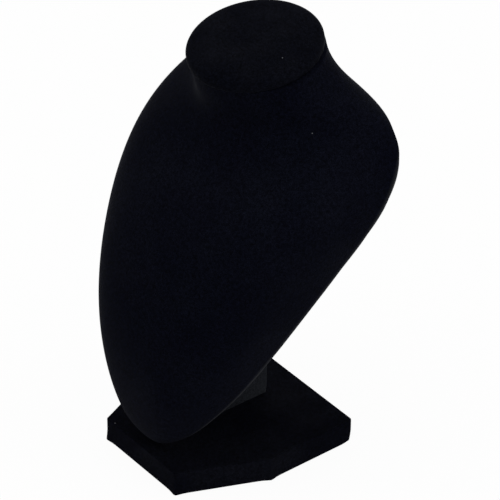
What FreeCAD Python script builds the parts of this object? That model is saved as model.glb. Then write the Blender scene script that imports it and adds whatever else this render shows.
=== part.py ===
"""Velvet covered necklace stand: a hollow moulded bust with a padded neck top, leaning back on an
upright leg board that stands on a six-sided base board.

Millimetres. +Z is up and the bust faces -Y. The origin is the centre of the base's underside.
"""
import FreeCAD, Part
import math
import os
import Sketcher
from types import SimpleNamespace
from FreeCAD import Placement, Rotation, Vector

doc = FreeCAD.newDocument("necklace_stand")

# Driving dimensions: alias, value, what it is
SIZES = [
    ("velvet", 1.0, "velvet with its pile, thickness"),
    ("hem_width", 12.0, "velvet turned under an edge"),
    ("back_width", 98.0, "base board, width at the back edge"),
    ("front_width", 58.0, "base board, width at the front edge"),
    ("board_depth", 99.0, "base board, back to front"),
    ("straight_side", 53.0, "base board, side before it tapers"),
    ("board_thick", 11.5, "base board, thickness"),
    ("corner_round", 0.4, "base board, radius of the upright corners"),
    ("sheet_thick", 0.5, "backing sheet under the base, thickness"),
    ("sheet_setback", 2.5, "backing sheet, distance inside the board's edge"),
    ("tip_gap", 0.3, "bust's tip above the base"),
    ("tip_setback", 11.0, "bust's tip behind the base's front edge"),
    ("lean", 30.7, "flat back from upright, degrees"),
    ("shell_wall", 2.0, "moulded bust, wall"),
    ("back_flange", 14.0, "moulded flange round the open back, width"),
    ("opening_top", 160.0, "open back, top edge, up the back from the tip"),
    ("panel_margin", 5.0, "back panel, distance inside the bust's edge"),
    ("panel_top", 170.0, "back panel, top edge, up the back from the tip"),
    ("panel_foot", 6.0, "back panel and opening, half width at the bottom"),
    ("panel_thick", 3.0, "back board, thickness"),
    ("panel_round", 8.0, "back board, radius of the upper corners"),
    ("leg_thick", 6.0, "leg board, thickness"),
    ("leg_back", 29.5, "leg board, back edge behind the origin"),
    ("leg_front", 20.0, "leg board, front edge before the origin"),
    ("neck_setback", 25.8, "neck axis behind the origin"),
    ("neck_radius", 33.8, "neck over the velvet"),
    ("seam_height", 227.3, "seam under the neck top, on the neck axis"),
    ("top_tilt", 9.5, "neck top tilted forward, degrees"),
    ("cap_radius", 34.0, "neck top board and pad"),
    ("cap_board", 2.0, "neck top board, thickness"),
    ("cap_pad", 4.4, "foam pad, thickness at its middle"),
    ("cap_edge", 1.4, "foam pad, upright part of its edge"),
    ("cap_round", 2.1, "foam pad, radius over its edge"),
    ("screw_shank", 3.0, "wood screw, shank diameter"),
    ("screw_head", 6.0, "wood screw, head diameter"),
    ("screw_length", 20.0, "wood screw, length"),
    ("screw_point", 4.0, "wood screw, length of its point"),
    ("screw_inset", 14.0, "base screws, distance inside the leg's edges"),
    ("panel_screw_low", 58.0, "lower panel screw, up the back from the tip"),
    ("panel_screw_high", 92.0, "upper panel screw, up the back from the tip"),
    ("slope_ridge", 36.0, "shoulder ridge behind the neck axis, at the slope"),
    ("slope_rear", 12.0, "bust behind the shoulder ridge, at the slope"),
    ("nape_ridge", 19.3, "shoulder ridge behind the neck axis, at the nape"),
    ("nape_rear", 18.3, "bust behind the shoulder ridge, at the nape"),
    ("collar_ridge", 3.0, "shoulder ridge behind the neck axis, at the collar"),
    ("collar_rear", 31.0, "bust behind the shoulder ridge, at the collar"),
    ("neck_lower", 5.0, "lower level of the round neck, above the seam"),
    ("neck_upper", 15.0, "upper level of the round neck, above the seam"),
    ("tip_half", 4.0, "tip level of the bust, half width"),
    ("tip_depth", 3.0, "tip level of the bust, depth of its front"),
    ("heel_rise", 1.2, "heel level of the bust, above the tip"),
    ("heel_half", 9.0, "heel level of the bust, half width"),
    ("heel_depth", 7.0, "heel level of the bust, depth of its front"),
    ("toe_rise", 11.0, "toe level of the bust, above the tip"),
    ("toe_half", 21.0, "toe level of the bust, half width"),
    ("toe_depth", 20.5, "toe level of the bust, depth of its front"),
    ("lower_rise", 38.0, "lower level of the bust, above the tip"),
    ("lower_half", 39.8, "lower level of the bust, half width"),
    ("lower_depth", 42.0, "lower level of the bust, depth of its front"),
    ("middle_rise", 76.0, "middle level of the bust, above the tip"),
    ("middle_half", 53.2, "middle level of the bust, half width"),
    ("middle_depth", 66.0, "middle level of the bust, depth of its front"),
    ("chest_rise", 116.0, "chest level of the bust, above the tip"),
    ("chest_half", 65.8, "chest level of the bust, half width"),
    ("chest_depth", 78.7, "chest level of the bust, depth of its front"),
    ("upper_rise", 150.0, "upper level of the bust, above the tip"),
    ("upper_half", 77.0, "upper level of the bust, half width"),
    ("upper_depth", 77.3, "upper level of the bust, depth of its front"),
    ("shoulder_rise", 172.0, "shoulder level of the bust, above the tip"),
    ("shoulder_half", 71.5, "shoulder level of the bust, half width"),
    ("shoulder_depth", 69.4, "shoulder level of the bust, depth of its front"),
    ("slope_rise", 186.0, "slope level of the bust, above the tip"),
    ("slope_half", 63.6, "slope level of the bust, half width"),
    ("slope_depth", 64.0, "slope level of the bust, depth of its front"),
    ("nape_rise", 198.0, "nape level of the bust, above the tip"),
    ("nape_half", 50.0, "nape level of the bust, half width"),
    ("nape_depth", 50.6, "nape level of the bust, depth of its front"),
    ("collar_rise", 208.0, "collar level of the bust, above the tip"),
    ("collar_half", 36.1, "collar level of the bust, half width"),
    ("collar_depth", 34.8, "collar level of the bust, depth of its front"),
]
# Levels of the bust from the tip up; the round neck follows them
LEVELS = ("tip", "heel", "toe", "lower", "middle", "chest",
          "upper", "shoulder", "slope", "nape", "collar")

sheet = doc.addObject("Spreadsheet::Sheet", "sizes")
for row, (alias, value, note) in enumerate(SIZES, start=1):
    sheet.set(f"A{row}", note)
    sheet.set(f"B{row}", str(value))
    sheet.setAlias(f"B{row}", alias)
doc.recompute()
v = SimpleNamespace(**{alias: float(sheet.get(alias)) for alias, value, note in SIZES})

# Heights and places that follow from the sizes, as values and as expressions
base_top = v.sheet_thick + 2 * v.velvet + v.board_thick
tip_z = base_top + v.tip_gap
tip_y = v.tip_setback - v.board_depth / 2 - v.velvet
panel_stack = 2 * v.velvet + v.panel_thick
lean = math.radians(v.lean)
BOARD_LOW = "(sizes.sheet_thick + sizes.velvet)"
BASE_TOP = "(sizes.sheet_thick + 2 * sizes.velvet + sizes.board_thick)"
TIP_Y = "(sizes.tip_setback - sizes.board_depth / 2 - sizes.velvet)"
LEAN = "(sizes.lean * 1 deg)"


def cell(expression):
    """Value of an expression made of the sheet's cells."""
    return float(sheet.evalExpression(expression))


def bind(item, **sizes):
    """Ties properties of an object to the sheet. A double underscore stands for a dot."""
    for name, expression in sizes.items():
        item.setExpression(name.replace("__", "."), expression)
    return item


def plane(body, role):
    """Origin plane of a body by its role."""
    return next(part for part in body.Origin.OriginFeatures if part.Role == role)


def sketch_on(body, role, name):
    """New sketch on one of the body's own origin planes."""
    sketch = body.newObject("Sketcher::SketchObject", name)
    sketch.AttachmentSupport = [(plane(body, role), "")]
    sketch.MapMode = "FlatFace"
    return sketch


def size(sketch, kind, *items, expression):
    """Adds one dimension to a sketch and ties it to the sheet."""
    index = sketch.addConstraint(Sketcher.Constraint(kind, *items, cell(expression)))
    sketch.setExpression(f"Constraints[{index}]", expression)


def loop(sketch, corners):
    """Closed chain of lines through the corners."""
    count = len(corners)
    for i in range(count):
        ends = [Vector(*corners[i], 0), Vector(*corners[(i + 1) % count], 0)]
        sketch.addGeometry(Part.LineSegment(*ends), False)
    for i in range(count):
        sketch.addConstraint(Sketcher.Constraint("Coincident", i, 2, (i + 1) % count, 1))


def upright_edges(shape):
    """Names of the straight edges of a shape that stand upright."""
    names = []
    for index, edge in enumerate(shape.Edges, start=1):
        if len(edge.Vertexes) == 2:
            run = edge.Vertexes[1].Point - edge.Vertexes[0].Point
            if abs(run.z) > 0.999 * run.Length:
                names.append(f"Edge{index}")
    return names


def part(kind, name, label=None, **links):
    """New document object with its links set."""
    item = doc.addObject(kind, name)
    item.Label = label or name
    for link, value in links.items():
        setattr(item, link, value)
    return item


def cut(name, base, tool):
    return part("Part::Cut", name, Base=base, Tool=tool)


def fixed(name, shape):
    """Document object that holds a shape made from the sheet's values."""
    return part("Part::Feature", name, Shape=shape)


# Base board: fibreboard with six sides
half_back, half_front, half_depth = v.back_width / 2, v.front_width / 2, v.board_depth / 2
base_body = part("PartDesign::Body", "base_blank")
base_sketch = sketch_on(base_body, "XY_Plane", "base_outline")
side_end = half_depth - v.straight_side
loop(base_sketch, [(-half_back, half_depth), (half_back, half_depth), (half_back, side_end),
                   (half_front, -half_depth), (-half_front, -half_depth), (-half_back, side_end)])
for line in (0, 3):
    base_sketch.addConstraint(Sketcher.Constraint("Symmetric", line, 1, line, 2, -2))
for line in (1, 5):
    base_sketch.addConstraint(Sketcher.Constraint("Vertical", line))
base_sketch.addConstraint(Sketcher.Constraint("Equal", 1, 5))
size(base_sketch, "DistanceX", 0, 1, 0, 2, expression="sizes.back_width")
size(base_sketch, "DistanceX", 3, 2, 3, 1, expression="sizes.front_width")
size(base_sketch, "DistanceY", 1, 2, 1, 1, expression="sizes.straight_side")
size(base_sketch, "DistanceY", 2, 2, 1, 1, expression="sizes.board_depth")
size(base_sketch, "DistanceY", -1, 1, 1, 1, expression="sizes.board_depth / 2")
base_pad = base_body.newObject("PartDesign::Pad", "base_pad")
base_pad.Profile = base_sketch
bind(base_pad, Length="sizes.board_thick")
bind(base_body, Placement__Base__z=BOARD_LOW)
doc.recompute()
base_fillet = base_body.newObject("PartDesign::Fillet", "base_corners")
base_fillet.Base = (base_pad, upright_edges(base_pad.Shape))
bind(base_fillet, Radius="sizes.corner_round")
base_body.Tip = base_fillet
doc.recompute()

# Leg board: an upright plate in the middle, cut to the lean of the bust along its upper edge


def leg_top(y):
    """Height of the back panel's outer face over a place y."""
    return tip_z + (y - tip_y) / math.tan(lean) - panel_stack / math.sin(lean)


def leg_height(y):
    """Expression for the leg's height over a place y."""
    return (f"sizes.tip_gap + ({y} - {TIP_Y}) / tan({LEAN})"
            f" - (2 * sizes.velvet + sizes.panel_thick) / sin({LEAN})")


def leg_body(name, grow, grow_cell):
    """Plate with the leg's profile, grown by a thickness at its edges and faces."""
    body = part("PartDesign::Body", name)
    sketch = sketch_on(body, "YZ_Plane", name + "_profile")
    front, rear = -v.leg_front - grow, v.leg_back + grow
    loop(sketch, [(front, base_top), (rear, base_top), (rear, leg_top(rear)), (front, leg_top(front))])
    sketch.addConstraint(Sketcher.Constraint("Horizontal", 0))
    sketch.addConstraint(Sketcher.Constraint("Vertical", 1))
    sketch.addConstraint(Sketcher.Constraint("Vertical", 3))
    size(sketch, "DistanceY", -1, 1, 0, 1, expression=BASE_TOP)
    size(sketch, "DistanceX", 0, 1, -1, 1, expression=f"sizes.leg_front + {grow_cell}")
    size(sketch, "DistanceX", -1, 1, 0, 2, expression=f"sizes.leg_back + {grow_cell}")
    size(sketch, "DistanceY", 1, 1, 1, 2, expression=leg_height(f"(sizes.leg_back + {grow_cell})"))
    size(sketch, "DistanceY", 3, 2, 3, 1, expression=leg_height(f"(-sizes.leg_front - {grow_cell})"))
    pad = body.newObject("PartDesign::Pad", name + "_pad")
    pad.Profile = sketch
    pad.SideType = "Symmetric"
    bind(pad, Length=f"sizes.leg_thick + 2 * {grow_cell}")
    doc.recompute()
    return body, pad


leg_blank, leg_pad = leg_body("leg_blank", 0.0, "0")
leg_sleeve, sleeve_pad = leg_body("leg_sleeve", v.velvet, "sizes.velvet")
sleeve_fillet = leg_sleeve.newObject("PartDesign::Fillet", "sleeve_corners")
sleeve_fillet.Base = (sleeve_pad, upright_edges(sleeve_pad.Shape))
bind(sleeve_fillet, Radius="sizes.velvet")
leg_sleeve.Tip = sleeve_fillet
doc.recompute()


# Bust form: one smooth front and one rear surface through the levels. The rear is flat and leans
# back as far as the shoulders, then closes round the neck.
# Poles of the half sections, as parts of the half width and of the depth
ROUND_RATIOS = [(1.0, 0.24), (0.83, 0.67), (0.31, 1.014)]
CHEST_RATIOS = [(1.0, 0.42), (0.86, 0.80), (0.42, 1.0)]
FRONT_RATIOS = {
    "shoulder": [(1.0, 0.48), (0.87, 0.70), (0.37, 1.0)],
    "slope": [(1.0, 0.15), (0.78, 0.50), (0.22, 1.0)],
    "nape": [(1.0, 0.24), (0.76, 0.665), (0.32, 1.0)],
    "collar": [(1.0, 0.24), (0.83, 0.67), (0.31, 1.0)],
    "neck": ROUND_RATIOS,
}
FLAT_RATIOS = [(0.78, 0.0), (0.30, 0.0)]
REAR_RATIOS = {
    "slope": [(1.0, 0.60), (0.60, 1.0)],
    "nape": [(1.0, 0.60), (0.60, 1.0)],
    "collar": [(1.0, 0.60), (0.60, 1.0)],
    "neck": [(1.0, 0.40), (0.546, 1.04)],
}
# The two lowest levels rise by this much of an inset, so that the walls keep their thickness there
TIP_LIFT_RATIO = 1.35
# Two places nearer than this are the same place
TOUCH = 1e-6


def back_plane(rise):
    """Place y of the flat back at a rise above the tip."""
    return tip_y + rise * math.tan(lean)


def levels(inset):
    """Levels of the form drawn in by an inset: name, rise, half width, ridge y, front, rear."""
    shift = inset / math.cos(lean)
    rows = []
    for name in LEVELS:
        rise = getattr(v, f"{name}_rise", 0.0)
        half = getattr(v, f"{name}_half")
        depth = getattr(v, f"{name}_depth")
        rear = 0.0
        if name in ("tip", "heel"):
            rise += TIP_LIFT_RATIO * inset
            ridge = back_plane(rise) - shift
        elif name in ("slope", "nape", "collar"):
            half, depth = half - inset, depth - inset
            rear = getattr(v, f"{name}_rear") - inset
            ridge = v.neck_setback + getattr(v, f"{name}_ridge")
        else:
            half, depth = half - inset, depth - inset - shift
            ridge = back_plane(rise) - shift
        rows.append((name, rise, half, ridge, depth, rear))
    radius = v.neck_radius - inset
    for over in (v.neck_lower, v.neck_upper):
        rise = v.seam_height - tip_z + over
        rows.append(("neck", rise, radius, v.neck_setback, radius, radius))
    return rows


def mirrored(points):
    """Points on the bust's left followed by the same on its right, in reverse order."""
    return points + [(-x, y) for x, y in reversed(points)]


def knots(count):
    """Knots and multiplicities of a clamped cubic with so many poles."""
    spans = count - 3
    return [4] + [1] * (spans - 1) + [4], [float(i) for i in range(spans + 1)]


def surface(rows):
    """Smooth surface over rows of poles."""
    across_mults, across_knots = knots(len(rows[0]))
    up_mults, up_knots = knots(len(rows))
    face = Part.BSplineSurface()
    face.buildFromPolesMultsKnots(rows, up_mults, across_mults, up_knots, across_knots,
                                  False, False, 3, 3)
    return face


def bust_form(inset):
    """Solid of the bust with its whole surface drawn in by an inset."""
    fronts, rears = [], []
    for name, rise, half, ridge, depth, rear in levels(inset):
        front_shape = FRONT_RATIOS.get(name, CHEST_RATIOS)
        front = mirrored([(half, ridge)] + [(half * x, ridge - depth * y) for x, y in front_shape])
        rear_shape = REAR_RATIOS.get(name, FLAT_RATIOS)
        behind = mirrored([(half, ridge)] + [(half * x, ridge + rear * y) for x, y in rear_shape])
        fronts.append([Vector(x, y, tip_z + rise) for x, y in front])
        rears.append([Vector(x, y, tip_z + rise) for x, y in behind])
    front, behind = surface(fronts).toShape(), surface(rears).toShape()
    ends = []
    rises = [row[1] for row in levels(inset)]
    for level in (tip_z + rises[0], tip_z + rises[-1]):
        rim = [edge for edge in front.Edges + behind.Edges
               if abs(edge.BoundBox.ZMin - level) < TOUCH and edge.BoundBox.ZLength < TOUCH]
        ends.append(Part.Face(Part.Wire(Part.__sortEdges__(rim))))
    shell = Part.makeShell([front, behind] + ends)
    shell.sewShape()
    solid = Part.makeSolid(shell)
    if solid.Volume < 0:
        solid.reverse()
    return solid


# Neck top: everything above the seam is trimmed by one tilted plane
def neck_frame(height):
    """Placement on the neck axis, at a height over the seam, square to the tilted top."""
    tilt = math.radians(v.top_tilt)
    base = Vector(0, v.neck_setback - height * math.sin(tilt), v.seam_height + height * math.cos(tilt))
    return Placement(base, Rotation(Vector(1, 0, 0), v.top_tilt))


def trimmed(form, height):
    """Form with everything above the tilted plane at a height over the seam cut off."""
    reach = 4 * v.neck_radius  # well past the form on every side
    block = Part.makeBox(reach, reach, reach, Vector(-reach / 2, -reach / 2, 0))
    block.Placement = neck_frame(height)
    return form.cut(block)


# Back: plates that lie in the flat back, with x across and y up the back from the tip
EDGE_LEVELS = 10
back_frame = Placement(Vector(0, tip_y, tip_z), Rotation(Vector(1, 0, 0), 90 - v.lean))
OUTLINE_POINTS = 12


def root(function, low, high):
    """Place between low and high where a rising function passes zero."""
    for step in range(50):
        middle = (low + high) / 2
        if function(middle) < 0:
            low = middle
        else:
            high = middle
    return middle


def back_outline(margin, foot, top):
    """Closed outline of a plate, so far inside the bust's edge, from its foot up to its top."""
    poles = [Vector(half, rise / math.cos(lean), 0)
             for name, rise, half, *rest in levels(0.0)[:EDGE_LEVELS]]
    up_mults, up_knots = knots(len(poles))
    edge = Part.BSplineCurve()
    edge.buildFromPolesMultsKnots(poles, up_mults, up_knots, False, 3)

    def inside(place):
        run = edge.tangent(place)[0]
        return edge.value(place) + margin * Vector(-run.y, run.x, 0)

    last = up_knots[-1]
    start = root(lambda place: inside(place).x - foot, 0.0, last)
    end = root(lambda place: inside(place).y - top, start, last)
    side = [inside(start + (end - start) * i / OUTLINE_POINTS) for i in range(OUTLINE_POINTS + 1)]
    lines = []
    for points in (side, [Vector(-point.x, point.y, 0) for point in side]):
        curve = Part.BSplineCurve()
        curve.interpolate(points)
        lines.append(curve.toShape())
    for i in (0, -1):
        lines.append(Part.makeLine(side[i], Vector(-side[i].x, side[i].y, 0)))
    return Part.Wire(Part.__sortEdges__(lines))


def back_plate(margin, top, inner, outer, corner=0.0):
    """Plate in the back between two distances behind the flat back."""
    face = Part.Face(back_outline(margin, v.panel_foot, top))
    face.translate(Vector(0, 0, -outer))
    plate = face.extrude(Vector(0, 0, outer - inner))
    if corner:
        edges = [edge for edge in plate.Edges
                 if edge.BoundBox.XLength < TOUCH and edge.BoundBox.YLength < TOUCH
                 and edge.BoundBox.YMin > top - TOUCH]
        plate = plate.makeFillet(corner, edges)
    plate.Placement = back_frame
    return plate


# Wood screws: two up through the base board and two back through the back board, into the leg
def screw(head, direction):
    """Countersunk wood screw with the middle of its head at a point."""
    radius, shank = v.screw_head / 2, v.screw_shank / 2
    sink = radius - shank
    straight = v.screw_length - v.screw_point
    profile = [(0, 0), (radius, 0), (shank, sink), (shank, straight), (0, v.screw_length), (0, 0)]
    wire = Part.makePolygon([Vector(x, 0, z) for x, z in profile])
    turned = Part.Face(wire).revolve(Vector(0, 0, 0), Vector(0, 0, 1), 360)
    turned.Placement = Placement(head, Rotation(Vector(0, 0, 1), direction))
    return turned


up = Vector(0, 0, 1)
into_leg = back_frame.Rotation.multVec(Vector(0, 0, -1))
board_low = v.sheet_thick + v.velvet
screw_set = [screw(Vector(0, place, board_low), up)
             for place in (v.screw_inset - v.leg_front, v.leg_back - v.screw_inset)]
for place in (v.panel_screw_low, v.panel_screw_high):
    head = back_frame.multVec(Vector(0, place, -v.velvet))
    screw_set.append(screw(head, into_leg))
screws = fixed("screws", Part.makeCompound(screw_set))

# Bust: moulded shell, open at the back inside a flange, and the velvet drawn over it and hemmed
outer_form = fixed("outer_form", trimmed(bust_form(0.0), 0.0))
shell_form = fixed("shell_form", trimmed(bust_form(v.velvet), -v.velvet))
hollow_form = fixed("hollow_form", trimmed(bust_form(v.velvet + v.shell_wall),
                                           -v.velvet - v.shell_wall))
deep = v.shell_wall + 3 * v.velvet
opening = fixed("back_opening", back_plate(v.back_flange, v.opening_top, -deep, v.velvet))
hem_top = v.opening_top + v.back_flange - v.hem_width
hem_opening = fixed("hem_opening", back_plate(v.hem_width, hem_top, -deep, v.velvet))
crown_hem = Part.makeCylinder(v.neck_radius - v.hem_width, 2 * v.velvet, Vector(0, 0, -v.velvet))
crown_hem.Placement = neck_frame(-v.velvet).multiply(crown_hem.Placement)
crown_opening = fixed("crown_opening", crown_hem)
shell_wall = cut("shell_wall_solid", shell_form, hollow_form)
bust_shell = cut("bust_shell", shell_wall, opening)
cover_layer = cut("cover_layer", outer_form, shell_form)
cover_open = cut("cover_open", cover_layer, hem_opening)
bust_cover = cut("bust_cover", cover_open, crown_opening)

# Back panel: board in a velvet cover that is turned under all round, over the bust's own hem
board_margin = v.panel_margin + v.velvet
plate_round = v.panel_round - v.velvet
back_blank = fixed("back_blank", back_plate(board_margin, v.panel_top - v.velvet, v.velvet,
                                            v.velvet + v.panel_thick, plate_round))
back_board = cut("back_board", back_blank, screws)
back_skin = fixed("back_skin", back_plate(v.panel_margin, v.panel_top, 0.0, panel_stack, v.panel_round))
back_inside = fixed("back_inside", back_plate(board_margin + v.hem_width / 2,
                                              v.panel_top - v.velvet - v.hem_width / 2,
                                              -v.velvet, v.velvet, plate_round))
back_layer = cut("back_layer", back_skin, back_blank)
back_open = cut("back_open", back_layer, back_inside)
back_cover = cut("back_cover", back_open, screws)

# Leg: board and its velvet sleeve, both resting on the base and glued up against the back panel
leg_board = cut("leg_board", leg_blank, screws)
leg_cover = cut("leg_cover", leg_sleeve, leg_blank)

# Neck top: round board, foam pad and a velvet cover that is turned under the board
top_seat = v.velvet
neck_board = part("Part::Cylinder", "neck_board")
bind(neck_board, Radius="sizes.cap_radius", Height="sizes.cap_board")
neck_board.Placement = neck_frame(top_seat)
neck_pad = part("PartDesign::Body", "neck_pad")
pad_sketch = sketch_on(neck_pad, "XZ_Plane", "pad_profile")
shoulder_x = v.cap_radius - v.cap_round
loft = v.cap_pad - v.cap_edge
crown_radius = (shoulder_x ** 2 + loft ** 2 - v.cap_round ** 2) / (2 * (loft - v.cap_round))
crown_end = math.acos(shoulder_x / (crown_radius - v.cap_round))
pad_corners = [(0, 0), (v.cap_radius, 0), (v.cap_radius, v.cap_edge)]
for start, end in zip(pad_corners, pad_corners[1:]):
    pad_sketch.addGeometry(Part.LineSegment(Vector(*start, 0), Vector(*end, 0)), False)
corner = Part.Circle(Vector(shoulder_x, v.cap_edge, 0), Vector(0, 0, 1), v.cap_round)
pad_sketch.addGeometry(Part.ArcOfCircle(corner, 0, crown_end), False)
crown = Part.Circle(Vector(0, v.cap_pad - crown_radius, 0), Vector(0, 0, 1), crown_radius)
pad_sketch.addGeometry(Part.ArcOfCircle(crown, crown_end, math.pi / 2), False)
pad_sketch.addGeometry(Part.LineSegment(Vector(0, v.cap_pad, 0), Vector(0, 0, 0)), False)
for a, a_end, b, b_end in ((0, 2, 1, 1), (1, 2, 2, 1), (3, 2, 4, 1), (4, 2, 0, 1)):
    pad_sketch.addConstraint(Sketcher.Constraint("Coincident", a, a_end, b, b_end))
pad_sketch.addConstraint(Sketcher.Constraint("Tangent", 2, 2, 3, 1))
pad_sketch.addConstraint(Sketcher.Constraint("Coincident", 0, 1, -1, 1))
pad_sketch.addConstraint(Sketcher.Constraint("Horizontal", 0))
pad_sketch.addConstraint(Sketcher.Constraint("Vertical", 1))
pad_sketch.addConstraint(Sketcher.Constraint("Vertical", 4))
pad_sketch.addConstraint(Sketcher.Constraint("Horizontal", 2, 3, 1, 2))
pad_sketch.addConstraint(Sketcher.Constraint("PointOnObject", 3, 3, -2))
size(pad_sketch, "DistanceX", 0, 1, 0, 2, expression="sizes.cap_radius")
size(pad_sketch, "DistanceY", 1, 1, 1, 2, expression="sizes.cap_edge")
size(pad_sketch, "Radius", 2, expression="sizes.cap_round")
size(pad_sketch, "DistanceY", 4, 2, 4, 1, expression="sizes.cap_pad")
pad_turn = neck_pad.newObject("PartDesign::Revolution", "pad_turn")
pad_turn.Profile = pad_sketch
pad_turn.ReferenceAxis = (pad_sketch, ["V_Axis"])
pad_turn.Angle = 360
neck_pad.Placement = neck_frame(top_seat + v.cap_board)
doc.recompute()


def cap_cover():
    """Velvet over the pad and board, turned in under the board, from one closed section."""
    grow, radius, edge = v.velvet, v.cap_radius, v.cap_board + v.cap_edge
    middle = v.cap_board + v.cap_pad - crown_radius
    hem = radius - v.hem_width

    def line(*ends):
        return Part.makeLine(*(Vector(x, 0, z) for x, z in ends))

    def arc(x, z, bend, start, end):
        circle = Part.Circle(Vector(x, 0, z), Vector(0, -1, 0), bend)
        circle.XAxis = Vector(1, 0, 0)
        return Part.Arc(circle, start, end).toShape()

    quarter = math.pi / 2
    lines = []
    for bend in (crown_radius, crown_radius + grow):
        lines.append(arc(0, middle, bend, crown_end, quarter))
    for bend in (v.cap_round, v.cap_round + grow):
        lines.append(arc(shoulder_x, edge, bend, 0, crown_end))
    lines += [line((0, middle + crown_radius), (0, middle + crown_radius + grow)),
              line((radius, edge), (radius, 0)),
              line((radius + grow, edge), (radius + grow, 0)),
              arc(radius, 0, grow, -quarter, 0),
              line((radius, -grow), (hem, -grow)),
              line((hem, -grow), (hem, 0)),
              line((hem, 0), (radius, 0))]
    section = Part.Face(Part.Wire(Part.__sortEdges__(lines)))
    turned = section.revolve(Vector(0, 0, 0), Vector(0, 0, 1), 360)
    turned.Placement = neck_frame(v.velvet)
    return turned


neck_cover = fixed("neck_cover", cap_cover())

# Base: board, velvet wrapped round it and hemmed underneath, and the sheet that hides the hem
base_board = cut("base_board", base_body, screws)
base_skin = part("Part::Offset", "base_skin", Source=base_body, Join="Arc")
bind(base_skin, Value="sizes.velvet")
under_outline = part("Part::Offset2D", "under_outline", Source=base_sketch)
bind(under_outline, Value="-sizes.hem_width")
under_opening = part("Part::Extrusion", "under_opening", Base=under_outline, DirMode="Custom",
                     Dir=Vector(0, 0, 1), Solid=True)
bind(under_opening, LengthFwd=BOARD_LOW)
base_layer = cut("base_layer", base_skin, base_body)
base_open = cut("base_open", base_layer, under_opening)
base_cover = cut("base_cover", base_open, screws)
sheet_outline = part("Part::Offset2D", "sheet_outline", Source=base_sketch)
bind(sheet_outline, Value="-sizes.sheet_setback")
base_sheet = part("Part::Extrusion", "base_sheet", Base=sheet_outline, DirMode="Custom",
                  Dir=Vector(0, 0, 1), Solid=True)
bind(base_sheet, LengthFwd="sizes.sheet_thick")
doc.recompute()

# Sub-parts, each written under its label
SUBPARTS = [base_board, base_cover, base_sheet, leg_board, leg_cover, back_board, back_cover,
            bust_shell, bust_cover, neck_board, neck_pad, neck_cover, screws]
for item in doc.Objects:
    if "Invalid" in item.State or "Error" in item.State:
        raise RuntimeError(f"{item.Name} failed: {item.State}")
for item in SUBPARTS:
    if item.Shape.isNull() or not item.Shape.isValid() or not item.Shape.Solids:
        raise RuntimeError(f"{item.Label} has no valid solid")
os.makedirs("parts", exist_ok=True)
for item in SUBPARTS:
    item.Shape.exportStep(f"parts/{item.Label}.step")
    print(f"{item.Label}: {len(item.Shape.Solids)} solids, {item.Shape.Volume:.0f} mm3")
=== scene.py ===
"""Looks of the velvet covered necklace stand, section by section in the order it is put together.
Metres, +Z up, the bust faces -Y. Sizes inside the sections are in millimetres.
"""

import math

import bmesh
import bpy
import numpy as np
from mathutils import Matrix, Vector


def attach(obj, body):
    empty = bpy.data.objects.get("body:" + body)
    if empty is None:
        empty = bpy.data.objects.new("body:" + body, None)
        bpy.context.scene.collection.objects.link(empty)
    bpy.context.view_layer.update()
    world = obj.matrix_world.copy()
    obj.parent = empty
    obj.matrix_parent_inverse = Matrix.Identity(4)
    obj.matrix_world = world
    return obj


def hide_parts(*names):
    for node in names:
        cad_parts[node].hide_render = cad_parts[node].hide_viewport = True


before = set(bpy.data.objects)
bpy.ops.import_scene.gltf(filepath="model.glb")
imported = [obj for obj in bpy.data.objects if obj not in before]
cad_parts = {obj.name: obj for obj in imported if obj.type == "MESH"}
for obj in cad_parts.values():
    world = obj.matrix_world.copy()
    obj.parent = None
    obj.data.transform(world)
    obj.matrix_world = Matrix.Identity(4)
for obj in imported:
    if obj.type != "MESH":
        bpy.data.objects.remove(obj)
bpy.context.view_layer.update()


# Base cover
# Black velvet wrapped round the six-sided fibreboard, drawn tight, folded at its upright corners
# and glued 12 mm under the board.
MM = 0.001
VELVET, HEM = 1.0, 12.0
BASE_BACK, BASE_FRONT, BASE_DEPTH, BASE_STRAIGHT = 98.0, 58.0, 99.0, 53.0
BASE_FOOT, BASE_TOP = 0.05, 14.0
BASE_CORNER, BASE_EDGE, BASE_SLACK = 0.4, 0.5, 0.3
FOLD_OUT, FOLD_WIDTH, FOLD_HEIGHT, FOLD_ABOVE = 0.9, 3.0, 4.0, 0.2


def rounded(corners, radius, steps=6):
    """Outline through the corners of a convex polygon, each rounded off by a radius."""
    points = []
    count = len(corners)
    for i in range(count):
        corner = np.array(corners[i], float)
        to_last = np.array(corners[i - 1], float) - corner
        to_next = np.array(corners[(i + 1) % count], float) - corner
        to_last /= np.linalg.norm(to_last)
        to_next /= np.linalg.norm(to_next)
        half = math.acos(np.clip(to_last @ to_next, -1, 1)) / 2
        middle = to_last + to_next
        centre = corner + middle / np.linalg.norm(middle) * radius / math.sin(half)
        start = corner + to_last * radius / math.tan(half) - centre
        end = corner + to_next * radius / math.tan(half) - centre
        for step in range(steps + 1):
            share = step / steps
            spoke = start * (1 - share) + end * share
            points.append(centre + spoke / np.linalg.norm(spoke) * radius)
    return np.array(points)


def lengths(line):
    """Length along a line up to each of its points."""
    return np.concatenate([[0], np.cumsum(np.linalg.norm(np.diff(line, axis=0), axis=1))])


def points_at(places, line, along):
    """Points of a flat line at places that are measured along it."""
    return np.stack([np.interp(places, along, line[:, axis]) for axis in range(2)], axis=1)


def filled(points, spacing):
    """The same closed outline with points added a spacing apart."""
    closed = np.vstack([points, points[:1]])
    along = lengths(closed)
    places = np.linspace(0, along[-1], round(along[-1] / spacing), endpoint=False)
    places = np.unique(np.concatenate([places, along[:-1]]).round(6))
    return points_at(places, closed, along)


def grown(outline, distance):
    """Outline moved outwards by a distance, or inwards if it is negative."""
    run = np.roll(outline, -1, axis=0) - np.roll(outline, 1, axis=0)
    run /= np.linalg.norm(run, axis=1)[:, None]
    return outline + distance * np.stack([run[:, 1], -run[:, 0]], axis=1)


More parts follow.
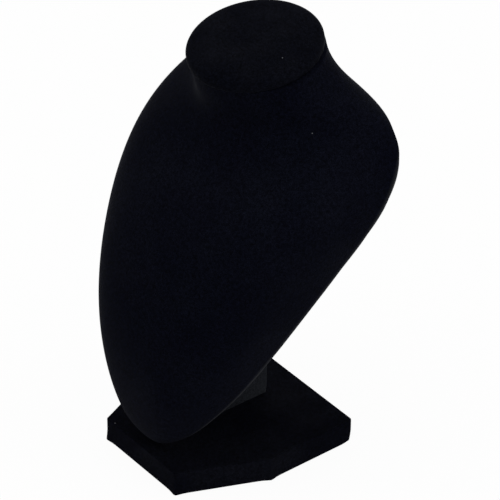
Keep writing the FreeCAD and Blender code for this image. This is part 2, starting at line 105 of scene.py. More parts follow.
def add_piece(name, verts, faces):
    """New smooth object from vertices in millimetres."""
    mesh = bpy.data.meshes.new(name)
    mesh.from_pydata([tuple(float(c) * MM for c in vert) for vert in verts], [], faces)
    mesh.validate()
    mesh.polygons.foreach_set("use_smooth", [True] * len(mesh.polygons))
    piece = bpy.data.objects.new(name, mesh)
    bpy.context.scene.collection.objects.link(piece)
    return piece


def ring_faces(rings, count, closed_end=None):
    """Quads between rings of so many vertices, and a fan to a last single vertex."""
    faces = []
    for ring in range(rings - 1):
        low, high = ring * count, (ring + 1) * count
        for i in range(count):
            j = (i + 1) % count
            faces.append((low + i, low + j, high + j, high + i))
    if closed_end is not None:
        last = (rings - 1) * count
        faces += [(last + i, last + (i + 1) % count, closed_end) for i in range(count)]
    return faces


def unevenness(points, size, seed, waves=9):
    """Smooth values, mostly from -1 to 1, of waves about one size long in random directions."""
    points = np.asarray(points, float) / size
    random = np.random.default_rng(seed)
    total = np.zeros(len(points))
    for _ in range(waves):
        direction = random.normal(size=points.shape[1])
        direction *= random.uniform(0.6, 1.6) / np.linalg.norm(direction)
        total += np.sin(points @ direction * 2 * math.pi + random.uniform(0, 2 * math.pi))
    return total / 5


def value_node(nodes, kind, **values):
    """New shader node with its properties and unlinked inputs set."""
    node = nodes.new(kind)
    for name, value in values.items():
        if hasattr(node, name):
            setattr(node, name, value)
        else:
            node.inputs[name.replace("_", " ")].default_value = value
    return node


def feed(tree, item, socket):
    """Links an output to an input, or sets the input to a plain number or colour."""
    if isinstance(item, bpy.types.NodeSocket):
        tree.links.new(item, socket)
    else:
        socket.default_value = item


def ranged(tree, source, low, high, to_low=0.0, to_high=1.0):
    """Value mapped from one range to another and kept within it."""
    node = value_node(tree.nodes, "ShaderNodeMapRange", From_Min=low, From_Max=high,
                      To_Min=to_low, To_Max=to_high)
    tree.links.new(source, node.inputs["Value"])
    return node.outputs["Result"]


def reckoned(tree, operation, first, second):
    """Result of a Math node on two outputs, or on an output and a number."""
    node = value_node(tree.nodes, "ShaderNodeMath", operation=operation)
    feed(tree, first, node.inputs[0])
    feed(tree, second, node.inputs[1])
    return node.outputs[0]


def mixed(tree, factor, first, second, blend="MIX"):
    """Colour of a Mix node on two colours, each an output or a plain colour."""
    node = value_node(tree.nodes, "ShaderNodeMix", data_type="RGBA", blend_type=blend)
    for item, place in ((factor, 0), (first, 6), (second, 7)):
        feed(tree, item, node.inputs[place])
    return node.outputs[2]


def reach_along(tree, source, direction):
    """How far a place or a normal reaches in a direction."""
    node = value_node(tree.nodes, "ShaderNodeVectorMath", operation="DOT_PRODUCT")
    tree.links.new(source, node.inputs[0])
    node.inputs[1].default_value = direction
    return node.outputs["Value"]


PILE_SCALE, CLUMP_SCALE, SPECK_SCALE = 2600.0, 620.0, 85.0
LINT_COLOUR = (0.30, 0.31, 0.33, 1)


def pile_group():
    """Shared velvet effect: nap brushed in patches, fine pile, and a few specks of lint."""
    group = bpy.data.node_groups.new("velvet pile", "ShaderNodeTree")
    face = group.interface
    for name, default in (("Pile", (0.004, 0.005, 0.01, 1)), ("Brushed", (0.01, 0.011, 0.016, 1))):
        face.new_socket(name, in_out="INPUT", socket_type="NodeSocketColor").default_value = default
    for name, default in (("Patch scale", 30.0), ("Lint", 0.5), ("Grain", 1.0)):
        face.new_socket(name, in_out="INPUT", socket_type="NodeSocketFloat").default_value = default
    face.new_socket("Color", in_out="OUTPUT", socket_type="NodeSocketColor")
    face.new_socket("Roughness", in_out="OUTPUT", socket_type="NodeSocketFloat")
    face.new_socket("Height", in_out="OUTPUT", socket_type="NodeSocketFloat")
    inside, outside = group.nodes.new("NodeGroupInput"), group.nodes.new("NodeGroupOutput")
    where = group.nodes.new("ShaderNodeTexCoord")

    def texture(kind, scale, **values):
        """Texture node on the object's own coordinates."""
        node = value_node(group.nodes, kind, **values)
        group.links.new(where.outputs["Object"], node.inputs["Vector"])
        feed(group, scale, node.inputs["Scale"])
        return node

    nap = texture("ShaderNodeTexNoise", inside.outputs["Patch scale"], Detail=3.0, Roughness=0.55)
    tufts = texture("ShaderNodeTexNoise", PILE_SCALE, Detail=2.0, Roughness=0.6)
    clumps = texture("ShaderNodeTexNoise", CLUMP_SCALE, Detail=3.0, Roughness=0.65)
    specks = texture("ShaderNodeTexVoronoi", SPECK_SCALE, feature="F1", Randomness=1.0)
    brushed = ranged(group, nap.outputs["Fac"], 0.42, 0.68)
    colour = mixed(group, brushed, inside.outputs["Pile"], inside.outputs["Brushed"])
    grain = ranged(group, tufts.outputs["Fac"], 0.28, 0.72, 0.1, 1.9)
    clump = ranged(group, clumps.outputs["Fac"], 0.32, 0.68, 0.5, 1.5)
    for pattern in (grain, clump):
        colour = mixed(group, inside.outputs["Grain"], colour, pattern, "MULTIPLY")
    chosen = group.nodes.new("ShaderNodeSeparateColor")
    group.links.new(specks.outputs["Color"], chosen.inputs["Color"])
    near = ranged(group, specks.outputs["Distance"], 0.034, 0.015)
    rare = ranged(group, chosen.outputs["Red"], 0.9, 0.93)
    lint = reckoned(group, "MULTIPLY", reckoned(group, "MULTIPLY", near, rare), inside.outputs["Lint"])
    colour = mixed(group, lint, colour, LINT_COLOUR)
    dull = ranged(group, nap.outputs["Fac"], 0.3, 0.7, 0.95, 0.82)
    raised = ranged(group, clumps.outputs["Fac"], 0.0, 1.0, 0.0, 1.6)
    group.links.new(colour, outside.inputs["Color"])
    group.links.new(dull, outside.inputs["Roughness"])
    group.links.new(reckoned(group, "ADD", tufts.outputs["Fac"], raised), outside.inputs["Height"])
    return group


PILE = pile_group()
PILE_RELIEF, PILE_DEPTH = 0.35, 0.3
# Sharpness of the painted sheen highlight at grazing angles, and of the painted highlight along a fold.
SHEEN_HIGHLIGHT_POWER, FOLD_HIGHLIGHT_POWER = 8.0, 1.6
# Colour of the painted highlight along a fold.
PAINTED_FOLD_HIGHLIGHT = (0.038, 0.039, 0.040, 1)


def velvet(name, pile, brushed, lint=0.5, patch=30.0, grain=1.0, sheen_highlight=(0.024, 0.025, 0.029), fold=None):
    """Velvet with its own colours and nap, and a painted sheen highlight on edges seen at a grazing angle,
    weaker where they face down.

    A fold is a plane, as its normal, distance and width: a painted highlight is added up to it, where the
    cover turns over its edge.
    """
    material = bpy.data.materials.new(name)
    material.use_nodes = True
    tree = material.node_tree
    shader = tree.nodes["Principled BSDF"]
    effect = tree.nodes.new("ShaderNodeGroup")
    effect.node_tree = PILE
    for socket, value in (("Pile", (*pile, 1)), ("Brushed", (*brushed, 1)), ("Lint", lint),
                          ("Patch scale", patch), ("Grain", grain)):
        effect.inputs[socket].default_value = value
    surface = tree.nodes.new("ShaderNodeNewGeometry")
    # Painted sheen highlight: a pale colour added where the surface is seen at a grazing angle, weakened
    # on faces turned down as painted shade from the light above.
    facing = value_node(tree.nodes, "ShaderNodeLayerWeight", Blend=0.5)
    sheen_highlight_share = reckoned(tree, "POWER", facing.outputs["Facing"], SHEEN_HIGHLIGHT_POWER)
    lit_from_above = ranged(tree, reach_along(tree, surface.outputs["Normal"], (0, 0, 1)), -0.4, 0.3, 0.25, 1.0)
    painted_sheen = reckoned(tree, "MULTIPLY", sheen_highlight_share, lit_from_above)
    colour = mixed(tree, painted_sheen, effect.outputs["Color"], (*sheen_highlight, 1), "ADD")
    # Painted highlight along the fold: added up to the plane where the cover turns over its edge, but not
    # on faces turned the plane's way.
    if fold:
        normal, distance, width = fold
        where = tree.nodes.new("ShaderNodeTexCoord")
        height = reach_along(tree, where.outputs["Object"], normal)
        fold_highlight_share = reckoned(tree, "POWER", ranged(tree, height, distance - width, distance), FOLD_HIGHLIGHT_POWER)
        sideways = ranged(tree, reach_along(tree, surface.outputs["Normal"], normal), 0.95, 0.6)
        colour = mixed(tree, reckoned(tree, "MULTIPLY", fold_highlight_share, sideways), colour, PAINTED_FOLD_HIGHLIGHT, "ADD")
    bump = value_node(tree.nodes, "ShaderNodeBump", Strength=PILE_RELIEF, Distance=PILE_DEPTH * MM)
    tree.links.new(effect.outputs["Height"], bump.inputs["Height"])
    tree.links.new(colour, shader.inputs["Base Color"])
    tree.links.new(effect.outputs["Roughness"], shader.inputs["Roughness"])
    tree.links.new(bump.outputs["Normal"], shader.inputs["Normal"])
    for socket, value in (("Specular IOR Level", 0.02), ("Sheen Weight", 0.03), ("Sheen Roughness", 0.35),
                          ("Sheen Tint", (0.10, 0.11, 0.14, 1))):
        shader.inputs[socket].default_value = value
    return material


EDGE_STEPS = 4
FACE_DIP, FACE_WAVE, MIDDLE_DIP = 0.12, 34.0, 0.1


def wrapped_board(name, outline, low, high, edge, hem, seed):
    """Velvet round a flat board: hem under it, rounded edges, side and a face of rings."""
    outer = grown(outline, VELVET)
    centre = outer.mean(axis=0)
    reach = np.abs(outer - centre).max()
    turns = [step / EDGE_STEPS * math.pi / 2 for step in range(EDGE_STEPS + 1)]
    rings = []
    for inwards in (hem, 0.5 * hem, 1.2 * edge):
        rings.append((centre + (outer - centre) * (1 - inwards / reach), low))
    for turn in turns:
        rings.append((grown(outer, -edge * (1 - math.sin(turn))), low + edge * (1 - math.cos(turn))))
    for share in (0.25, 0.5, 0.75):
        rings.append((outer, low + edge + (high - low - 2 * edge) * share))
    for turn in turns:
        rings.append((grown(outer, -edge * (1 - math.cos(turn))), high - edge * (1 - math.sin(turn))))
    inner = grown(outer, -edge)
    for share in (0.97, 0.92, 0.84, 0.74, 0.62, 0.5, 0.38, 0.26, 0.14):
        rings.append((centre + (inner - centre) * share, high))
    verts = np.vstack([np.column_stack([ring, np.full(len(ring), z)]) for ring, z in rings])
    on_face = np.isclose(verts[:, 2], high)
    verts[:, 2] -= np.where(on_face, FACE_DIP + FACE_DIP * unevenness(verts, FACE_WAVE, seed), 0)
    verts = np.vstack([verts, [*centre, high - MIDDLE_DIP]])
    return add_piece(name, verts, ring_faces(len(rings), len(outer), len(verts) - 1))


half_back, half_front, half_depth = BASE_BACK / 2, BASE_FRONT / 2, BASE_DEPTH / 2
side_end = half_depth - BASE_STRAIGHT
base_corners = [(-half_front, -half_depth), (half_front, -half_depth), (half_back, side_end),
                (half_back, half_depth), (-half_back, half_depth), (-half_back, side_end)]
base_outline = grown(filled(rounded(base_corners, BASE_CORNER), 2.0), BASE_SLACK)
base_velvet = wrapped_board("base_velvet", base_outline, BASE_FOOT, BASE_TOP, BASE_EDGE, HEM, seed=3)
for vert in base_velvet.data.vertices:
    x, y, z = vert.co / MM
    low = math.exp(-(z / FOLD_HEIGHT) ** 2)
    for corner_x, corner_y in base_corners:
        # A fold stands out at its foot, except at the two rear corners, where it is drawn in
        fullness = FOLD_ABOVE + (1 - FOLD_ABOVE) * low if corner_y < half_depth else -low
        near = math.exp(-(math.hypot(x - corner_x, y - corner_y) / FOLD_WIDTH) ** 2)
        outwards = Vector((corner_x, corner_y, 0)).normalized()
        vert.co += outwards * (FOLD_OUT * fullness * near * MM)
base_velvet.data.materials.append(
    velvet("velvet of the base", (0.0013, 0.0015, 0.0034), (0.0028, 0.0031, 0.0053), lint=0.5))
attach(base_velvet, "root")
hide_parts("base_cover")


# Boards, backing sheet, screws and bust moulding
# Plain brown fibreboard inside the velvet covers, black card under the base, zinc plated wood
# screws and the bust's dark plastic moulding. Only the card shows, and only from below.
UNEVEN_GLOSS = 0.08


def grained(name, low, high, scale, roughness, metallic=0.0, stretch=(1, 1, 1), relief=0.2, depth=0.2):
    """Material whose colour, roughness and relief follow one fine grain."""
    material = bpy.data.materials.new(name)
    material.use_nodes = True
    tree = material.node_tree
    shader = tree.nodes["Principled BSDF"]
    where = tree.nodes.new("ShaderNodeTexCoord")
    drawn = value_node(tree.nodes, "ShaderNodeMapping", Scale=stretch)
    grain = value_node(tree.nodes, "ShaderNodeTexNoise", Scale=scale, Detail=6.0, Roughness=0.65)
    ramp = tree.nodes.new("ShaderNodeValToRGB")
    for element, place, colour in zip(ramp.color_ramp.elements, (0.3, 0.7), (low, high)):
        element.position = place
        element.color = (*colour, 1)
    dull = ranged(tree, grain.outputs["Fac"], 0.0, 1.0, roughness - UNEVEN_GLOSS, roughness + UNEVEN_GLOSS)
    bump = value_node(tree.nodes, "ShaderNodeBump", Strength=relief, Distance=depth * MM)
    tree.links.new(where.outputs["Object"], drawn.inputs["Vector"])
    tree.links.new(drawn.outputs["Vector"], grain.inputs["Vector"])
    tree.links.new(grain.outputs["Fac"], ramp.inputs["Fac"])
    tree.links.new(grain.outputs["Fac"], bump.inputs["Height"])
    tree.links.new(ramp.outputs["Color"], shader.inputs["Base Color"])
    tree.links.new(dull, shader.inputs["Roughness"])
    tree.links.new(bump.outputs["Normal"], shader.inputs["Normal"])
    shader.inputs["Metallic"].default_value = metallic
    return material


def dress(node, material):
    """Gives a CAD node its finished material."""
    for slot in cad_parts[node].material_slots:
        slot.material = material


fibreboard = grained("fibreboard", (0.26, 0.17, 0.10), (0.42, 0.30, 0.19), 900, 0.8, stretch=(1, 1, 3))
for board in ("base_board", "leg_board", "back_board", "neck_board"):
    dress(board, fibreboard)
dress("base_sheet", grained("black card", (0.008, 0.008, 0.009), (0.02, 0.02, 0.022), 1400, 0.75))
dress("screws", grained("zinc plate", (0.52, 0.50, 0.44), (0.70, 0.68, 0.62), 2500, 0.35, metallic=1.0))
dress("bust_shell", grained("moulded plastic", (0.035, 0.035, 0.038), (0.06, 0.06, 0.065), 1200, 0.55))


# Leg cover
# One strip of velvet glued round the upright leg board, its edges meeting in a butt seam at the
# middle of the back edge. It is tucked in a little at its foot.
LEG_THICK, LEG_FRONT, LEG_BACK = 6.0, 20.0, 29.5
LEG_ROUND, LEG_RINGS = 1.5, 40
LEG_TUCK, LEG_TUCK_RINGS = 0.5, 1.2
LEG_SWELL, LEG_WAVE = 0.10, 26.0
SEAM_DIP, SEAM_WIDTH = 0.35, 0.35
LEAN = math.radians(30.7)
TIP_Y, TIP_Z = -39.5, 14.3
PANEL_STACK = 5.0


def leg_top(y):
    """Height of the back panel's outer face over a place y."""
    return TIP_Z + (y - TIP_Y) / math.tan(LEAN) - PANEL_STACK / math.sin(LEAN)


half_leg = LEG_THICK / 2 + VELVET
leg_corners = [(-half_leg, -LEG_FRONT - VELVET), (half_leg, -LEG_FRONT - VELVET),
               (half_leg, LEG_BACK + VELVET), (-half_leg, LEG_BACK + VELVET)]
leg_outline = filled(rounded(leg_corners, LEG_ROUND), 1.5)
leg_seam = np.exp(-(leg_outline[:, 0] / SEAM_WIDTH) ** 2) * (leg_outline[:, 1] > LEG_BACK)
leg_verts = []
for ring in range(LEG_RINGS):
    shaped = grown(leg_outline, -LEG_TUCK * math.exp(-ring / LEG_TUCK_RINGS))
    shaped[:, 1] -= SEAM_DIP * leg_seam
    heights = BASE_TOP + ring / (LEG_RINGS - 1) * (leg_top(leg_outline[:, 1]) - BASE_TOP)
    leg_verts.append(np.column_stack([shaped, heights]))
leg_verts = np.vstack(leg_verts)
leg_verts[:, 0] += np.sign(leg_verts[:, 0]) * LEG_SWELL * unevenness(leg_verts, LEG_WAVE, seed=5)
leg_velvet = add_piece("leg_velvet", leg_verts, ring_faces(LEG_RINGS, len(leg_outline)))
# The leg's velvet is drawn several times paler than the other covers: partly a nap of its own, partly
# painted light on the leg's side, which is lit from the right under the bust.
leg_velvet.data.materials.append(
    velvet("velvet of the leg", (0.0095, 0.0105, 0.0135), (0.0150, 0.0165, 0.0200), lint=0.3, grain=0.55))
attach(leg_velvet, "root")
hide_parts("leg_cover")


# Bust cover
# One piece of velvet drawn over the moulded bust, turned over its rim on to the flat back and in
# over the top of the neck, and glued down.
ROWS, COLUMNS = 190, 240
LINE_POINTS, LOOP_POINTS, REAR_POINTS = 1200, 600, 161
NECK_SETBACK, NECK_RADIUS, SEAM_HEIGHT, TOP_TILT = 25.8, 33.8, 227.3, math.radians(9.5)
RIM_ROUND, RIM_FULLNESS, RIM_SHARPNESS = 1.3, 1.1, 8
TIP_LIFT, TIP_REACH, TIP_WIDER, WIDER_AT = 0.7, 9.0, 0.03, 12.0
TURNED_IN, FLAT_WITHIN, HEM_TOP = 0.1, 0.8, 160.0
FOLD_BAND = 4.5
CHEST = [(1.0, 0.42), (0.86, 0.80), (0.42, 1.0)]
FLAT = [(0.78, 0.0), (0.30, 0.0)]
SHOULDER_BACK = [(1.0, 0.6), (0.6, 1.0)]
NECK_FRONT, NECK_BACK = [(1.0, 0.24), (0.83, 0.67), (0.31, 1.014)], [(1.0, 0.4), (0.546, 1.04)]
CHEST_LEVELS = [
    # rise over the tip, half width, depth in front
    (0.0, 4.0, 3.0), (1.2, 9.0, 7.0), (11.0, 21.0, 20.5), (38.0, 39.8, 42.0), (76.0, 53.2, 66.0),
    (116.0, 65.8, 78.7), (150.0, 77.0, 77.3),
]
SHOULDER_LEVELS = [
    # rise, half width, front depth, front shape, ridge behind the neck's middle, rear depth, rear shape
    (172.0, 71.5, 69.4, [(1.0, 0.48), (0.87, 0.70), (0.37, 1.0)], None, 0.0, FLAT),
    (186.0, 63.6, 64.0, [(1.0, 0.15), (0.78, 0.50), (0.22, 1.0)], 36.0, 12.0, SHOULDER_BACK),
    (198.0, 50.0, 50.6, [(1.0, 0.24), (0.76, 0.665), (0.32, 1.0)], 19.3, 18.3, SHOULDER_BACK),
    (208.0, 36.1, 34.8, [(1.0, 0.24), (0.83, 0.67), (0.31, 1.0)], 3.0, 31.0, SHOULDER_BACK),
    (218.0, NECK_RADIUS, NECK_RADIUS, NECK_FRONT, 0.0, NECK_RADIUS, NECK_BACK),
    (228.0, NECK_RADIUS, NECK_RADIUS, NECK_FRONT, 0.0, NECK_RADIUS, NECK_BACK),
]


def spline_weights(count, places):
    """Weights of the poles of a clamped cubic at places from 0 to 1."""
    knots = np.concatenate([[0.0] * 3, np.linspace(0, 1, count - 2), [1.0] * 3])
    places = np.clip(places, 0, 1 - 1e-9)
    weights = [((knots[i] <= places) & (places < knots[i + 1])).astype(float) for i in range(count + 3)]
    for degree in (1, 2, 3):
        raised = []
        for i in range(count + 3 - degree):
            low_span, high_span = knots[i + degree] - knots[i], knots[i + degree + 1] - knots[i + 1]
            total = np.zeros_like(places)
            if low_span > 0:
                total = total + (places - knots[i]) / low_span * weights[i]
            if high_span > 0:
                total = total + (knots[i + degree + 1] - places) / high_span * weights[i + 1]
            raised.append(total)
        weights = raised
    return np.stack(weights, axis=1)


def mirrored(points):
    """Poles of one half followed by their mirror images, back to the other edge."""
    return points + [(-x, y) for x, y in reversed(points)]


def bust_poles():
    """Poles of the front and the rear of the bust, level by level, with their heights."""
    fronts, rears, heights = [], [], []
    levels = [(*level, CHEST, None, 0.0, FLAT) for level in CHEST_LEVELS] + SHOULDER_LEVELS
    for rise, half, depth, front_shape, ridge_back, rear, rear_shape in levels:
        ridge = TIP_Y + rise * math.tan(LEAN) if ridge_back is None else NECK_SETBACK + ridge_back
        fronts.append(mirrored([(half, ridge)] + [(half * x, ridge - depth * y) for x, y in front_shape]))
        rears.append(mirrored([(half, ridge)] + [(half * x, ridge + rear * y) for x, y in rear_shape]))
        heights.append(TIP_Z + rise)
    return np.array(fronts), np.array(rears), np.array(heights)


def even_closed(points, count):
    """So many points spread evenly along a closed line from its first point, and its length."""
    closed = np.vstack([points, points[:1]])
    along = lengths(closed)
    return points_at(np.linspace(0, along[-1], count, endpoint=False), closed, along), along[-1]


def softened(loop, girth, radius):
    """Closed loop with its sharp rim rounded off as cloth rounds it."""
    count = len(loop)
    reach = np.minimum(np.arange(count), count - np.arange(count)) * girth / count
    kernel = np.exp(-0.5 * (reach / radius) ** 2)
    kernel /= kernel.sum()
    blurred = np.fft.fft(kernel)[:, None] * np.fft.fft(loop, axis=0)
    return np.real(np.fft.ifft(blurred, axis=0))


front_poles, rear_poles, level_heights = bust_poles()
half_widths = front_poles[:, 0, 0]
middle_poles = front_poles[:, front_poles.shape[1] // 2, 1]
level_weights = spline_weights(len(level_heights), np.linspace(0, 1, LINE_POINTS))
middle_line = np.column_stack([level_weights @ middle_poles, level_weights @ level_heights])
along = lengths(middle_line)
row_places = np.interp(np.linspace(0, along[-1], ROWS), along, np.linspace(0, 1, LINE_POINTS))
across_front = spline_weights(front_poles.shape[1], np.linspace(0, 1, LOOP_POINTS // 2 + 1))
across_rear = spline_weights(rear_poles.shape[1], np.linspace(0, 1, REAR_POINTS))
bust_verts = []
for weights in spline_weights(len(level_heights), row_places):
    front = across_front @ np.tensordot(weights, front_poles, axes=1)
    rear = across_rear @ np.tensordot(weights, rear_poles, axes=1)
    half = len(front) // 2
    loop, girth = even_closed(np.vstack([front[half:], rear[::-1][1:-1], front[:half]]), LOOP_POINTS)
    # The rim's rounding and fullness shrink with the girth towards the tip
    loop = softened(loop, girth, min(RIM_ROUND, girth / 40))
    share = np.abs(loop[:, 0]) / np.abs(loop[:, 0]).max()
    loop[:, 0] += np.sign(loop[:, 0]) * min(RIM_FULLNESS, girth / 60) * share ** RIM_SHARPNESS
    loop, girth = even_closed(loop, COLUMNS)
    height = weights @ level_heights
    rise = height - TIP_Z
    lift = TIP_LIFT * math.exp(-(rise / TIP_REACH) ** 2)
    loop[:, 1] += lift * math.sin(LEAN)
    loop[:, 0] *= 1 + TIP_WIDER * math.exp(-((rise - WIDER_AT) / TIP_REACH) ** 2)
    bust_verts.append(np.column_stack([loop, np.full(COLUMNS, height + lift * math.cos(LEAN))]))
bust_verts = np.vstack(bust_verts)
bust_verts = np.vstack([bust_verts, bust_verts[:COLUMNS].mean(axis=0)])
bust_faces = ring_faces(ROWS, COLUMNS)
bust_faces += [((i + 1) % COLUMNS, i, len(bust_verts) - 1) for i in range(COLUMNS)]
bust_velvet = add_piece("bust_velvet", bust_verts, bust_faces)

seam_up = Vector((0, -math.sin(TOP_TILT), math.cos(TOP_TILT)))
seam_middle = Vector((0, NECK_SETBACK, SEAM_HEIGHT)) * MM
shaping = bmesh.new()
shaping.from_mesh(bust_velvet.data)
bmesh.ops.bisect_plane(shaping, geom=shaping.verts[:] + shaping.edges[:] + shaping.faces[:],
                       plane_co=seam_middle, plane_no=seam_up, clear_outer=True)
crown = [edge for edge in shaping.edges
         if edge.is_boundary and (edge.verts[0].co - seam_middle).dot(seam_up) > -0.01 * MM]
hem_edge = bmesh.ops.extrude_edge_only(shaping, edges=crown)["geom"]
for vert in (item for item in hem_edge if isinstance(item, bmesh.types.BMVert)):
    spoke = vert.co - seam_middle
    vert.co = seam_middle + spoke * (1 - HEM / NECK_RADIUS) - seam_up * TURNED_IN * MM
back_out = Vector((0, math.cos(LEAN), -math.sin(LEAN)))
up_back = Vector((0, math.sin(LEAN), math.cos(LEAN)))
tip = Vector((0, TIP_Y, TIP_Z)) * MM
inside_hem = []
for polygon in shaping.faces:
    place = (polygon.calc_center_median() - tip) / MM
    edge_x = np.interp(place.z, level_heights - TIP_Z, half_widths)
    if (abs(place.dot(back_out)) < FLAT_WITHIN and HEM < place.dot(up_back) < HEM_TOP
            and abs(place.x) < edge_x - HEM):
        inside_hem.append(polygon)
bmesh.ops.delete(shaping, geom=inside_hem, context="FACES")
bmesh.ops.recalc_face_normals(shaping, faces=shaping.faces)
shaping.to_mesh(bust_velvet.data)
shaping.free()
# The bust's cover gets a painted highlight in a band along the fold where it turns over its rim on to the
# flat back.
bust_velvet.data.materials.append(
    velvet("velvet of the bust", (0.0013, 0.0016, 0.0042), (0.0024, 0.0028, 0.0058), lint=0.4, patch=14.0,
           sheen_highlight=(0.021, 0.022, 0.025), fold=(back_out, back_out.dot(tip), FOLD_BAND * MM)))
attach(bust_velvet, "root")
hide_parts("bust_cover")


# Back panel cover
# Velvet wrapped round the thin board that closes the bust's back, its edges turned in between
# the board and the bust.
PANEL_MARGIN, PANEL_TOP, PANEL_FOOT, PANEL_ROUND = 5.0, 170.0, 6.0, 8.0
PANEL_LEVELS, PANEL_POINTS, PANEL_EDGE = 10, 340, 1.2
EDGE_SAMPLES, EDGE_THINNING = 900, 12


def panel_outline():
    """Outline of the panel in the flat back: x across, y up the back from the tip."""
    weights = spline_weights(PANEL_LEVELS, np.linspace(0, 1, EDGE_SAMPLES))
    rises = (level_heights[:PANEL_LEVELS] - TIP_Z) / math.cos(LEAN)
    edge = np.column_stack([weights @ half_widths[:PANEL_LEVELS], weights @ rises])
    run = np.gradient(edge, axis=0)
    run /= np.linalg.norm(run, axis=1)[:, None]
    edge = edge + PANEL_MARGIN * np.column_stack([-run[:, 1], run[:, 0]])
    kept = edge[(edge[:, 0] > PANEL_FOOT) & (edge[:, 1] < PANEL_TOP - PANEL_ROUND)]
    turns = np.linspace(0.15, math.pi / 2, 8)
    top = np.column_stack([kept[-1, 0] + PANEL_ROUND * (np.cos(turns) - 1),
                           PANEL_TOP - PANEL_ROUND * (1 - np.sin(turns))])
    right = np.vstack([kept[::EDGE_THINNING], top])
    return np.vstack([right, right[::-1] * (-1, 1)])


panel_edge = grown(even_closed(panel_outline(), PANEL_POINTS)[0], -VELVET)
panel_velvet = wrapped_board("panel_velvet", panel_edge, 0.0, PANEL_STACK, PANEL_EDGE, HEM / 2, seed=8)
for vert in panel_velvet.data.vertices:
    x, up, out = vert.co
    vert.co = tip + Vector((x, 0, 0)) + up_back * up + back_out * out
panel_velvet.data.flip_normals()
panel_velvet.data.materials.append(
    velvet("velvet of the back panel", (0.0018, 0.0021, 0.0048), (0.0034, 0.0038, 0.0070), lint=0.3))
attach(panel_velvet, "root")
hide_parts("back_cover")


# Neck top: foam pad
# A thin disc of grey foam, glued on the round board of the neck top. The pull of the velvet
# rounds it over its edge, and the cover hides all of it.
PAD_PROFILE = [
    # radius, height over the seam
    (32.0, 3.05), (33.9, 3.05), (34.0, 3.3), (34.0, 4.4), (33.7, 5.3), (32.9, 6.1), (31.6, 6.5),
    (26.0, 6.8), (18.0, 7.1), (9.0, 7.3),
]


def turned(name, profile, segments, waves=None):
    """Round piece on the tilted neck axis from a profile of radius and height over the seam."""
    verts = []
    for radius, height in profile:
        for i in range(segments):
            turn = 2 * math.pi * i / segments
            reach = radius + (waves(turn, radius, height) if waves else 0.0)
            verts.append((reach * math.sin(turn), -reach * math.cos(turn), height))
    faces = ring_faces(len(profile), segments, len(verts))
    verts.append((0, 0, profile[-1][1]))
    piece = add_piece(name, verts, faces)
    backwards = Vector((0, math.cos(TOP_TILT), math.sin(TOP_TILT)))
    for vert in piece.data.vertices:
        x, y, z = vert.co
        vert.co = seam_middle + Vector((x, 0, 0)) + backwards * y + seam_up * z
    return piece


neck_foam = turned("neck_foam", PAD_PROFILE, 96)
neck_foam.data.materials.append(
    grained("grey foam", (0.10, 0.10, 0.105), (0.20, 0.20, 0.21), 1500, 0.9, relief=0.6, depth=0.4))
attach(neck_foam, "root")
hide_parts("neck_pad")


# Neck top: cover
# A round of velvet drawn over the pad and gathered in under the board, so that it sits on the neck
# in a soft roll with a dark crease below.
CAP_RADIUS = 35.0
CAP_FORWARD, CAP_OVAL = 0.5, 0.18
PLEAT_DEPTH, PLEAT_HEIGHT, PLEAT_REACH, PLEAT_START = 0.13, 1.0, 1.6, 30.0
CAP_PROFILE = [
    (22.0, 0.1), (30.0, 0.1), (32.9, 0.1), (33.9, 0.25), (34.5, 0.7), (34.85, 1.4), (CAP_RADIUS, 2.1),
    (CAP_RADIUS, 2.9), (34.96, 3.7), (34.75, 4.5), (34.3, 5.3), (33.6, 6.0), (32.6, 6.6), (31.2, 7.05),
    (29.2, 7.4), (26.4, 7.7), (22.8, 7.95), (18.6, 8.12), (14.0, 8.23), (9.0, 8.28), (4.0, 8.3),
]


def gathers(turn, radius, height):
    """How far the cover stands out: pleats drawn in under the board, and a round not quite true."""
    outer = radius / CAP_RADIUS
    near_seam = math.exp(-((height - PLEAT_HEIGHT) / PLEAT_REACH) ** 2) * (radius > PLEAT_START)
    pleats = math.sin(23 * turn + 1.7 * math.sin(3 * turn)) + 0.6 * math.sin(37 * turn + 2.0)
    forward = CAP_FORWARD * math.cos(turn) * outer ** 2
    return forward + PLEAT_DEPTH * near_seam * pleats + CAP_OVAL * math.sin(2 * turn + 0.8) * outer ** 4


neck_velvet = turned("neck_velvet", CAP_PROFILE, 200, gathers)
# The neck top's velvet has a stronger painted sheen highlight on its rolled edge.
neck_velvet.data.materials.append(
    velvet("velvet of the neck top", (0.0016, 0.0019, 0.0038), (0.0030, 0.0033, 0.0056), lint=0.4,
           sheen_highlight=(0.034, 0.035, 0.037)))
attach(neck_velvet, "root")
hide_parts("neck_cover")


# Floor, light and camera
# A plain white paper floor under two soft square lamps and a pale room. The camera looks down at
# the stand from the front on its left side, through a long lens. Places here are in metres.
FLOOR_REACH, FLOOR_GLOW = 4.0, 0.95
ROOM_LIGHT = 0.75
LAMP_AIM = Vector((0, 0, 0.12))
CAMERA_TURN, CAMERA_RISE, CAMERA_AWAY = math.radians(52.1), math.radians(35.0), 1.829
CAMERA_AIM = Vector((-0.014, 0.0325, 0.0951))


def shown_to_camera(tree, share, plain, glowing):
    """Mix of two shaders, with so much of the glowing one for what the camera sees itself."""
    path = tree.nodes.new("ShaderNodeLightPath")
    mix = tree.nodes.new("ShaderNodeMixShader")
    seen = reckoned(tree, "MULTIPLY", path.outputs["Is Camera Ray"], share)
    for source, socket in zip((seen, plain.outputs[0], glowing.outputs[0]), mix.inputs):
        tree.links.new(source, socket)
    return mix.outputs[0]


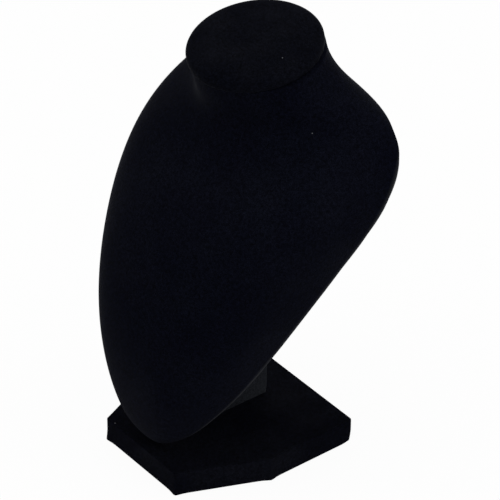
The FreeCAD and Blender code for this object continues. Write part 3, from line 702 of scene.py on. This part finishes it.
floor_mesh = bpy.data.meshes.new("floor")
floor_corners = [(x * FLOOR_REACH, y * FLOOR_REACH, 0) for x, y in ((-1, -1), (1, -1), (1, 1), (-1, 1))]
floor_mesh.from_pydata(floor_corners, [], [(0, 1, 2, 3)])
floor = bpy.data.objects.new("floor", floor_mesh)
bpy.context.scene.collection.objects.link(floor)
paper = bpy.data.materials.new("white paper")
paper.use_nodes = True
tree = paper.node_tree
matt = tree.nodes["Principled BSDF"]
matt.inputs["Base Color"].default_value = (0.86, 0.86, 0.86, 1)
matt.inputs["Roughness"].default_value = 0.9
glow = value_node(tree.nodes, "ShaderNodeEmission", Color=(1, 1, 1, 1), Strength=1.0)
output = tree.nodes["Material Output"]
tree.links.new(shown_to_camera(tree, FLOOR_GLOW, matt, glow), output.inputs["Surface"])
floor_mesh.materials.append(paper)

room = bpy.data.worlds.new("studio")
bpy.context.scene.world = room
room.use_nodes = True
tree = room.node_tree
tree.nodes.clear()
soft_light = value_node(tree.nodes, "ShaderNodeBackground", Color=(1, 1, 1, 1), Strength=ROOM_LIGHT)
white = value_node(tree.nodes, "ShaderNodeBackground", Color=(1, 1, 1, 1), Strength=1.0)
output = tree.nodes.new("ShaderNodeOutputWorld")
tree.links.new(shown_to_camera(tree, 1.0, soft_light, white), output.inputs["Surface"])


def soft_box(name, place, size, power):
    """Square soft light that faces the middle of the stand."""
    lamp = bpy.data.lights.new(name, "AREA")
    lamp.size, lamp.energy = size, power
    box = bpy.data.objects.new(name, lamp)
    box.location = place
    box.rotation_euler = (LAMP_AIM - Vector(place)).to_track_quat("-Z", "Y").to_euler()
    bpy.context.scene.collection.objects.link(box)


soft_box("key", (-0.4, -0.4, 2.1), 1.4, 8)
soft_box("fill", (1.3, 0.7, 0.9), 0.9, 5)

camera_data = bpy.data.cameras.new("camera")
camera_data.lens, camera_data.sensor_width = 252, 36
camera = bpy.data.objects.new("camera", camera_data)
bpy.context.scene.collection.objects.link(camera)
outward = Vector((math.sin(CAMERA_TURN) * math.cos(CAMERA_RISE),
                  -math.cos(CAMERA_TURN) * math.cos(CAMERA_RISE), math.sin(CAMERA_RISE)))
camera.location = CAMERA_AIM + outward * CAMERA_AWAY
camera.rotation_euler = outward.to_track_quat("Z", "Y").to_euler()
bpy.context.scene.camera = camera
bpy.context.scene.view_settings.view_transform = "Standard"
